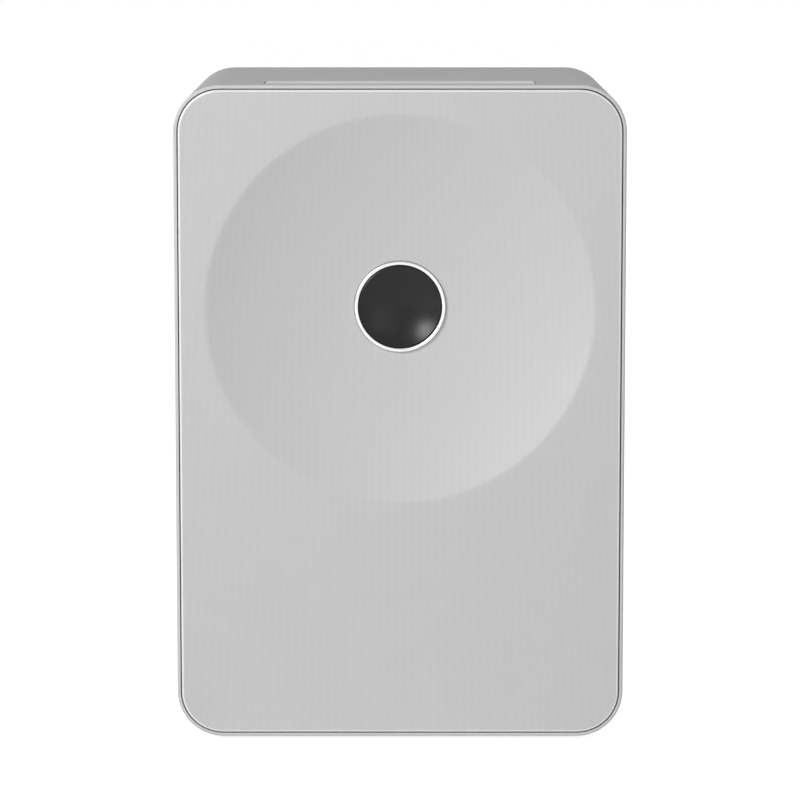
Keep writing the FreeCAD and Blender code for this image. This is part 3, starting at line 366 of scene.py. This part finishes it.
def grainedFinish(name, colour, gloss, grain, depth=0.04, bump=0.25, drift=0.05, metallic=0, specular=0.5):
    # depth in millimetres
    finish, tree, shader, place = newFinish(name)
    look = {"colour": colour, "gloss": gloss, "grain": grain, "drift": drift}
    surface = placeGrain(tree, place, look)
    tree.links.new(surface.outputs["Colour"], shader.inputs["Base Color"])
    tree.links.new(surface.outputs["Roughness"], shader.inputs["Roughness"])
    bumpFrom(tree, shader, surface.outputs["Height"], bump, millimetres(depth))
    shader.inputs["Metallic"].default_value = metallic
    shader.inputs["Specular IOR Level"].default_value = specular
    return finish


grilleLook = {
    "colour": (0.63, 0.63, 0.632),
    "holeShade": 0.67,          # how dark a hole is beside the metal round it
    "pitch": millimetres(0.5),
    "hole": 0.26,               # share of the pitch
    "softness": 0.1,
    "paintedEdgeHighlight": 1.3,           # the rolled edge has no holes, and its colour is painted brighter as a painted highlight where it catches the light
    "edgeGloss": 0.2,
    "gloss": (0.51, 0.59),
    "grain": 3000,
    "drift": 0.012,
    "metallic": 0.15,
    "bump": 0.15,
    "depth": millimetres(0.08),
}


def buildGrilleFinish():
    finish, tree, shader, place = newFinish("grilleMesh")
    holes = placeGroup(tree, pinholeRows, place, Pitch=grilleLook["pitch"], Hole=grilleLook["hole"],
                       Softness=grilleLook["softness"])
    holeShade = rangeNode(tree, holes.outputs["Hole"], 0, 1, 1, grilleLook["holeShade"])
    rolled = tree.nodes.new("ShaderNodeAttribute")
    rolled.attribute_name = "rolledEdge"
    edge = rolled.outputs["Fac"]
    # painted highlight: the rolled edge takes no holes and is painted brighter than the sheet
    shade = rangeNode(tree, edge, 0, 1, holeShade, grilleLook["paintedEdgeHighlight"])
    grain = placeGrain(tree, place, grilleLook)
    tree.links.new(shadeNode(tree, grain.outputs["Colour"], shade), shader.inputs["Base Color"])
    polish = mathNode(tree, "MULTIPLY", edge, grilleLook["edgeGloss"])
    tree.links.new(mathNode(tree, "SUBTRACT", grain.outputs["Roughness"], polish), shader.inputs["Roughness"])
    bumpFrom(tree, shader, holes.outputs["Height"], grilleLook["bump"], grilleLook["depth"])
    shader.inputs["Metallic"].default_value = grilleLook["metallic"]
    return finish


cabinetLook = {
    "colour": (0.4, 0.4, 0.404),
    "gloss": (0.53, 0.56),
    "grain": 5200,
    "drift": 0.015,
    "bump": 0.2,
    "depth": millimetres(0.02),
    "paintedLipHighlight": 1.55,           # painted highlight: the front lip is painted brighter than the paint, standing in for the light its round catches
    "lipStart": millimetres(1.3),
    "lipEnd": millimetres(0.9),
    "specular": 0.35,
}


def buildCabinetFinish():
    finish, tree, shader, place = newFinish("silverPaint")
    grain = placeGrain(tree, place, cabinetLook)
    split = tree.nodes.new("ShaderNodeSeparateXYZ")
    tree.links.new(place, split.inputs["Vector"])
    front = cornersOf("cabinet_shell")[0].y
    lip = (front + cabinetLook["lipStart"], front + cabinetLook["lipEnd"])
    # painted highlight: the colour is scaled up over the front lip, where its round catches the light
    shade = rangeNode(tree, split.outputs["Y"], *lip, 1, cabinetLook["paintedLipHighlight"])
    tree.links.new(shadeNode(tree, grain.outputs["Colour"], shade), shader.inputs["Base Color"])
    tree.links.new(grain.outputs["Roughness"], shader.inputs["Roughness"])
    bumpFrom(tree, shader, grain.outputs["Height"], cabinetLook["bump"], cabinetLook["depth"])
    shader.inputs["Specular IOR Level"].default_value = cabinetLook["specular"]
    return finish


def turnedFinish(name, colour, gloss, centre, rings, bump, metallic=0, specular=0.5, coat=0, coatGloss=0.03):
    finish, tree, shader, place = newFinish(name)
    ring = placeGroup(tree, turnedRings, centredOn(tree, place, centre), **{
        "Colour": (*colour, 1), "Rings": rings, "Gloss Low": gloss[0], "Gloss High": gloss[1],
    })
    tree.links.new(ring.outputs["Colour"], shader.inputs["Base Color"])
    tree.links.new(ring.outputs["Roughness"], shader.inputs["Roughness"])
    bumpFrom(tree, shader, ring.outputs["Height"], bump, turnedGroup["depth"])
    shader.inputs["Metallic"].default_value = metallic
    shader.inputs["Specular IOR Level"].default_value = specular
    shader.inputs["Coat Weight"].default_value = coat
    shader.inputs["Coat Roughness"].default_value = coatGloss
    return finish


dialMiddle = middleOf("dial_bezel")
finishes = {
    "cabinet_silver": buildCabinetFinish(),
    "grille_silver": buildGrilleFinish(),
    "chrome_trim": turnedFinish("polishedBezel", (0.7, 0.7, 0.705), (0.24, 0.32), dialMiddle,
                                rings=2600, bump=0.05, metallic=1),
    "dial_black": turnedFinish("spunBlack", (0.003, 0.003, 0.0033), (0.44, 0.5), dialMiddle,
                               rings=3200, bump=0.06, specular=0.06, coat=0.5, coatGloss=0.3),
    "touch_grey": grainedFinish("satinLens", (0.52, 0.52, 0.52), (0.3, 0.38), grain=4000,
                                depth=0.01, bump=0.1, drift=0.01, specular=0.4),
    "inner_black": grainedFinish("mouldedBlack", (0.022, 0.022, 0.023), (0.5, 0.62), grain=2600),
    "port_black": grainedFinish("portBlack", (0.028, 0.028, 0.029), (0.42, 0.52), grain=2200),
    "rear_grey": grainedFinish("rearGrain", (0.05, 0.05, 0.052), (0.5, 0.6), grain=1500,
                               depth=0.08, bump=0.45),
    "rubber_black": grainedFinish("rubber", (0.02, 0.02, 0.02), (0.7, 0.8), grain=1800,
                                  depth=0.06, bump=0.4, drift=0.1),
    "cone_paper": grainedFinish("pressedPaper", (0.035, 0.034, 0.033), (0.8, 0.9), grain=900,
                                depth=0.15, bump=0.6, drift=0.2),
    "dome_silk": grainedFinish("coatedSilk", (0.03, 0.03, 0.033), (0.5, 0.6), grain=3800,
                               bump=0.4, drift=0.06),
    "spider_cloth": grainedFinish("dippedCloth", (0.42, 0.27, 0.1), (0.75, 0.85), grain=2600,
                                  depth=0.1, bump=0.5, drift=0.14),
    "painted_steel": grainedFinish("blackSteelPaint", (0.03, 0.03, 0.03), (0.32, 0.42), grain=1600, bump=0.2),
    "zinc_steel": grainedFinish("zincPlate", (0.6, 0.6, 0.59), (0.28, 0.42), grain=900,
                                depth=0.03, bump=0.2, drift=0.08, metallic=1),
    "screw_black": grainedFinish("blackOxide", (0.05, 0.05, 0.052), (0.3, 0.42), grain=2400,
                                 depth=0.03, bump=0.2, drift=0.1, metallic=1),
    "ferrite": grainedFinish("groundFerrite", (0.055, 0.055, 0.057), (0.6, 0.72), grain=1100,
                             depth=0.05, bump=0.3, drift=0.12),
    "copper_wire": grainedFinish("copperWinding", (0.66, 0.3, 0.13), (0.28, 0.36), grain=5000,
                                 depth=0.08, bump=0.5, drift=0.08, metallic=1),
    "board_green": grainedFinish("solderMask", (0.012, 0.11, 0.05), (0.3, 0.42), grain=700,
                                 depth=0.03, bump=0.2, drift=0.12),
    "sink_aluminium": grainedFinish("extrudedMetal", (0.58, 0.58, 0.58), (0.36, 0.46), grain=1200,
                                    depth=0.03, bump=0.2, drift=0.06, metallic=1),
    "can_black": grainedFinish("canSleeve", (0.03, 0.03, 0.04), (0.25, 0.35), grain=1600,
                               depth=0.02, bump=0.1),
    "core_yellow": grainedFinish("coilTape", (0.5, 0.36, 0.04), (0.4, 0.5), grain=800,
                                 depth=0.05, bump=0.3, drift=0.08),
    "shield_tin": grainedFinish("tinPlate", (0.62, 0.62, 0.6), (0.25, 0.38), grain=900,
                                depth=0.02, bump=0.15, drift=0.06, metallic=1),
}
slotOf = {part["node"]: part["material_slot"] for part in frame["record"]["subparts"]}
bodyNodes = frame["record"]["behaviour"]["bodies"]
bodyOf = {nodeName: body for body, members in bodyNodes.items() for nodeName in members}
print("finishes built:", len(finishes))


# Copies of CAD nodes, merged so that their rounds shade smoothly

copies = {"flatAngle": 0.3, "smoothAngle": 32}


def mergedBmesh(nodeName):
    bm = bmesh.new()
    bm.from_mesh(frame["nodes"][nodeName].data)
    bmesh.ops.remove_doubles(bm, verts=bm.verts, dist=mergeGap)
    return bm


def mergedCopy(name, nodeName, softEdge=0):
    bm = mergedBmesh(nodeName)
    flat = math.radians(copies["flatAngle"])
    bmesh.ops.dissolve_limit(bm, angle_limit=flat, verts=bm.verts, edges=bm.edges, delimit={"NORMAL"})
    piece = addRidingPiece(name, meshFrom(name, bm, copies["smoothAngle"]), nodeName)
    if softEdge:
        rounded(piece, softEdge)
    weighted(piece)


# Front grille: a drawn sheet with a rolled edge and a spherical dish

grille = {
    "dishRadius": millimetres(73.5),
    "dishDepth": millimetres(12),
    "rimBlend": millimetres(6),
    "opening": millimetres(17.52),
    "corner": millimetres(15.8),
    "rolledEdge": millimetres(0.9),
    "flange": millimetres(8),
    "sheet": millimetres(1),
    "cornerSteps": 14,
    "edgeSteps": 6,
    "dishSteps": 22,
    "blendSteps": 8,
    "turnSteps": 240,
    "smoothAngle": 60,
}


def dishProfile(front):
    # from the dial's opening out over the sphere, then through the blend to the flat
    ball = (grille["dishRadius"] ** 2 + grille["dishDepth"] ** 2) / (2 * grille["dishDepth"])
    rise = ball - grille["dishDepth"]
    blend = grille["rimBlend"]
    rim = math.sqrt((ball + blend) ** 2 - (rise + blend) ** 2)
    tilt = math.degrees(math.asin(rim / (ball + blend)))
    start = math.degrees(math.asin(grille["opening"] / ball))
    sphere = arcPoints((0, front + rise), ball, start - 90, tilt - 90, grille["dishSteps"])
    turn = arcPoints((rim, front - blend), blend, 90 + tilt, 90, grille["blendSteps"])
    return sphere + turn[1:]


def openEdgesAt(bm, level):
    # open edges that lie in the plane y = level
    return [edge for edge in bm.edges
            if edge.is_boundary and all(abs(vert.co.y - level) < mergeGap for vert in edge.verts)]


def buildGrille():
    low, high = cornersOf("front_grille")
    middle = Vector((0, low.y, (low.z + high.z) / 2))
    bm = bmesh.new()
    bmesh.ops.create_grid(bm, x_segments=1, y_segments=1, size=0.5)
    bmesh.ops.rotate(bm, verts=bm.verts, cent=(0, 0, 0), matrix=Matrix.Rotation(math.pi / 2, 3, "X"))
    bmesh.ops.scale(bm, verts=bm.verts, vec=(high.x - low.x, 1, high.z - low.z))
    bmesh.ops.translate(bm, verts=bm.verts, vec=middle)
    bmesh.ops.bevel(bm, geom=bm.verts[:], offset=grille["corner"], segments=grille["cornerSteps"],
                    profile=0.5, affect="VERTICES", material=-1)
    # the turned-back edge, with its front corner rolled
    outline = bm.edges[:]
    sides = bmesh.ops.extrude_edge_only(bm, edges=outline)["geom"]
    bmesh.ops.translate(bm, verts=vertsIn(sides), vec=(0, grille["flange"], 0))
    bmesh.ops.bevel(bm, geom=outline, offset=grille["rolledEdge"], segments=grille["edgeSteps"],
                    profile=0.5, affect="EDGES", material=-1)
    plate = max(bm.faces, key=lambda face: face.calc_area())
    bmesh.ops.delete(bm, geom=[plate], context="FACES_ONLY")
    rolled = bm.verts.layers.float.new("rolledEdge")
    for vert in bm.verts:
        vert[rolled] = 1 if vert.co.y > low.y + mergeGap else 0
    plateLoop = openEdgesAt(bm, low.y)
    # the dish is turned, then the flat plate is filled in round it
    before = set(bm.verts)
    dishCentre = (0, 0, dialMiddle.z)
    verts, edges = profileEdges(bm, dishProfile(-low.y))
    bmesh.ops.translate(bm, verts=verts, vec=dishCentre)
    fullTurn(bm, verts + edges, dishCentre, grille["turnSteps"])
    dish = [vert for vert in bm.verts if vert not in before]
    bmesh.ops.remove_doubles(bm, verts=dish, dist=mergeGap)
    rimLoop = [edge for edge in openEdgesAt(bm, low.y) if edge not in plateLoop]
    bmesh.ops.triangle_fill(bm, use_beauty=True, edges=plateLoop + rimLoop, normal=(0, -1, 0))
    bmesh.ops.recalc_face_normals(bm, faces=bm.faces)
    if max(bm.faces, key=lambda face: face.calc_area()).normal.y > 0:
        bmesh.ops.reverse_faces(bm, faces=bm.faces)
    piece = addRidingPiece("grilleSkin", meshFrom("grilleSkin", bm, grille["smoothAngle"]), "front_grille")
    wall = piece.modifiers.new("sheet", "SOLIDIFY")
    wall.thickness = grille["sheet"]
    wall.offset = -1
    wall.use_even_offset = True
    weighted(piece)


buildGrille()
mergedCopy("cabinetSkin", "cabinet_shell")
print("cabinet and grille built")


# Dial: polished bezel round a hollowed dark face

dial = {
    "bezelGap": millimetres(0.2),
    "hollow": millimetres(4.6),
    "faceEdge": millimetres(0.25),
    "bezelSteps": 12,
    "faceSteps": 20,
    "turnSteps": 160,
}


def buildDial():
    low, high = cornersOf("dial_bezel")
    outer = (high.x - low.x) / 2
    faceLow, faceHigh = cornersOf("dial_face")
    faceRadius = (faceHigh.x - faceLow.x) / 2
    inner = faceRadius + dial["bezelGap"]
    half = (outer - inner) / 2
    crown = arcPoints((inner + half, -low.y - half), half, 0, 180, dial["bezelSteps"])
    ring = [(inner, -high.y), (outer, -high.y)] + crown + [(inner, -high.y)]
    turnedPiece("bezelRing", ring, dialMiddle, "dial_bezel", dial["turnSteps"])
    # the hollow is part of a sphere
    rim, back = -faceLow.y, -faceHigh.y
    hollow = dial["hollow"]
    ball = (faceRadius ** 2 + hollow ** 2) / (2 * hollow)
    reach = math.degrees(math.asin((faceRadius - dial["faceEdge"]) / ball))
    bowl = arcPoints((0, rim - hollow + ball), ball, -90, reach - 90, dial["faceSteps"])
    edge = [(faceRadius, bowl[-1][1] - dial["faceEdge"] / 2), (faceRadius, back), (0, back)]
    turnedPiece("dialHollow", bowl + edge, dialMiddle, "dial_face", dial["turnSteps"])


buildDial()
print("dial built")


# Top strip, feet, port and rear plate with its connectors, each with its soft edge in millimetres

softEdges = {
    "touch_panel": ("touchStrip", 0.3),
    "port_tube": ("portTube", 0),
    "rear_plate": ("rearPlate", 0.45),
    "mains_inlet": ("mainsInlet", 0.5),
    "line_in_jack": ("lineInJack", 0.4),
    "setup_button": ("setupButton", 0.5),
    "inlet_contact_left": ("contactLeft", 0.4),
    "inlet_contact_right": ("contactRight", 0.4),
    "foot_front_left": ("footFrontLeft", 0.5),
    "foot_front_right": ("footFrontRight", 0.5),
    "foot_rear_left": ("footRearLeft", 0.5),
    "foot_rear_right": ("footRearRight", 0.5),
}
for nodeName, (pieceName, softEdge) in softEdges.items():
    mergedCopy(pieceName, nodeName, millimetres(softEdge))
print("top strip, feet, port and rear built")


# Plate screws with hexagon sockets

screw = {
    "head": millimetres(2.8),
    "height": millimetres(1.8),
    "crown": millimetres(0.5),
    "shank": millimetres(1.2),
    "length": millimetres(10),
    "socket": millimetres(1.35),
    "socketDepth": millimetres(1.1),
    "socketRim": millimetres(0.2),
    "crownSteps": 4,
    "turnSteps": 24,
    "mergeGap": 1e-7,
}


def screwProfile():
    # from the socket's rim over the head and along the shank, in (radius, forward)
    crown, height = screw["crown"], screw["height"]
    crownStart = screw["head"] - crown
    tip = height + screw["length"]
    profile = [(screw["socket"] + screw["socketRim"], 0), (crownStart, 0)]
    profile += arcPoints((crownStart, crown), crown, -90, 0, screw["crownSteps"])[1:]
    return profile + [(screw["head"], height), (screw["shank"], height), (screw["shank"], tip), (0, tip)]


def buildScrew(bm, place):
    # place is the middle of the head's rear face, which looks out of the back along +y
    before = set(bm.verts)
    verts, edges = profileEdges(bm, screwProfile())
    fullTurn(bm, verts + edges, (0, 0, 0), screw["turnSteps"])
    turned = [vert for vert in bm.verts if vert not in before]
    bmesh.ops.remove_doubles(bm, verts=turned, dist=screw["mergeGap"])
    headLoop = [edge for edge in bm.edges
                if edge.is_boundary and all(vert not in before for vert in edge.verts)]
    hexagon = bmesh.ops.create_circle(bm, segments=6, radius=screw["socket"])["verts"]
    bmesh.ops.rotate(bm, verts=hexagon, cent=(0, 0, 0), matrix=Matrix.Rotation(math.pi / 2, 3, "X"))
    socketLoop = list({edge for vert in hexagon for edge in vert.link_edges})
    bmesh.ops.bridge_loops(bm, edges=headLoop + socketLoop)
    walls = bmesh.ops.extrude_edge_only(bm, edges=socketLoop)["geom"]
    floorVerts = vertsIn(walls)
    bmesh.ops.translate(bm, verts=floorVerts, vec=(0, -screw["socketDepth"], 0))
    floorEdges = [item for item in walls if isinstance(item, bmesh.types.BMEdge)
                  and all(vert in floorVerts for vert in item.verts)]
    bmesh.ops.contextual_create(bm, geom=floorEdges)
    made = [vert for vert in bm.verts if vert not in before]
    bmesh.ops.translate(bm, verts=made, vec=place)


def buildPlateScrews():
    low, high = cornersOf("plate_screws")
    head = screw["head"]
    levels = (low.z + head, (low.z + high.z) / 2, high.z - head)
    bm = bmesh.new()
    for x in (low.x + head, high.x - head):
        for level in levels:
            buildScrew(bm, Vector((x, high.y, level)))
    bmesh.ops.recalc_face_normals(bm, faces=bm.faces)
    addRidingPiece("plateScrews", meshFrom("plateScrews", bm), "plate_screws")


buildPlateScrews()
print("screws built")


# Surround and spider of the woofer, as merged copies of their CAD nodes

flexRings = {
    "woofer_surround": {
        "piece": "surroundRoll",
        "outerLand": millimetres(4.8),
        "innerLand": millimetres(4.8),
        "lag": 1.8,             # above 1, the crest of the roll stays behind the cone
    },
    "woofer_spider": {
        "piece": "spiderDisc",
        "outerLand": millimetres(4.5),
        "innerLand": millimetres(0.5),
        "lag": 1,
    },
}


def buildFlexRing(nodeName, settings):
    pieceName = settings["piece"]
    piece = addPiece(pieceName, meshFrom(pieceName, mergedBmesh(nodeName)), nodeName)
    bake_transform(piece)


for nodeName, settings in flexRings.items():
    buildFlexRing(nodeName, settings)
print("flexing rings built")


# Every other node keeps its CAD shape and takes its finish

for nodeName, node in frame["nodes"].items():
    node.data.materials.clear()
    node.data.materials.append(finishes[slotOf[nodeName]])
print("finishes assigned")


# Stage: white floor and surroundings, soft studio light, camera at the photo's angle

stage = {
    "floorSize": 8,
    "floorWhite": 0.85,
    "floorRoughness": 0.9,
    "floorGlow": 0.82,          # makes the floor white where it is seen directly
    "worldLight": 0.28,
}
lights = {
    "key": {"place": (-1.2, -1.3, 1.08), "aim": (0, -0.05, 0.14), "size": 0.7, "watts": 24},
    "front": {"place": (1.1, -2.0, 0.75), "aim": (0, 0, 0.12), "size": 1.6, "watts": 6.5},
    "rear": {"place": (1.0, 1.7, 0.16), "aim": (0, 0, 0.12), "size": 0.3, "watts": 8},
}
view = {"height": 0.3243, "distance": 1.4085, "pitch": 7.8, "lens": 169.4, "sensor": 36, "farClip": 50}


def seenDirectly(tree):
    # 1 for rays from the camera, from glossy surfaces and through clear ones
    path = tree.nodes.new("ShaderNodeLightPath")
    rays = mathNode(tree, "MAXIMUM", path.outputs["Is Camera Ray"], path.outputs["Is Glossy Ray"])
    return mathNode(tree, "MAXIMUM", rays, path.outputs["Is Transmission Ray"])


def buildFloor():
    bm = bmesh.new()
    bmesh.ops.create_grid(bm, x_segments=1, y_segments=1, size=stage["floorSize"] / 2)
    mesh = bpy.data.meshes.new("floor")
    bm.to_mesh(mesh)
    bm.free()
    linkedObject("floor", mesh)
    white = bpy.data.materials.new("floorWhite")
    white.use_nodes = True
    tree = white.node_tree
    shader = tree.nodes["Principled BSDF"]
    shader.inputs["Base Color"].default_value = (stage["floorWhite"],) * 3 + (1,)
    shader.inputs["Roughness"].default_value = stage["floorRoughness"]
    shader.inputs["Specular IOR Level"].default_value = 0
    glow = tree.nodes.new("ShaderNodeEmission")
    both = tree.nodes.new("ShaderNodeAddShader")
    strength = mathNode(tree, "MULTIPLY", seenDirectly(tree), stage["floorGlow"])
    tree.links.new(strength, glow.inputs["Strength"])
    tree.links.new(shader.outputs["BSDF"], both.inputs[0])
    tree.links.new(glow.outputs["Emission"], both.inputs[1])
    tree.links.new(both.outputs["Shader"], tree.nodes["Material Output"].inputs["Surface"])
    mesh.materials.append(white)


def buildWorld():
    world = bpy.data.worlds.new("studio")
    bpy.context.scene.world = world
    world.use_nodes = True
    tree = world.node_tree
    background = tree.nodes["Background"]
    background.inputs["Color"].default_value = (1, 1, 1, 1)
    strength = rangeNode(tree, seenDirectly(tree), 0, 1, stage["worldLight"], 1)
    tree.links.new(strength, background.inputs["Strength"])


def addLight(name, settings):
    lamp = bpy.data.lights.new(name, "AREA")
    lamp.shape = "SQUARE"
    lamp.size = settings["size"]
    lamp.energy = settings["watts"]
    holder = linkedObject(name, lamp)
    holder.location = settings["place"]
    towards = Vector(settings["aim"]) - Vector(settings["place"])
    holder.rotation_euler = towards.to_track_quat("-Z", "Y").to_euler()


def addCamera():
    camera = bpy.data.cameras.new("photoView")
    camera.lens = view["lens"]
    camera.sensor_width = view["sensor"]
    camera.clip_end = view["farClip"]
    holder = linkedObject("photoView", camera)
    front = cadBox[0][1]
    holder.location = (0, front - view["distance"], view["height"])
    holder.rotation_euler = (math.radians(90 - view["pitch"]), 0, 0)
    bpy.context.scene.camera = holder


buildFloor()
buildWorld()
for name, settings in lights.items():
    addLight(name, settings)
addCamera()
bpy.context.scene.view_settings.view_transform = "Standard"
print("stage built")
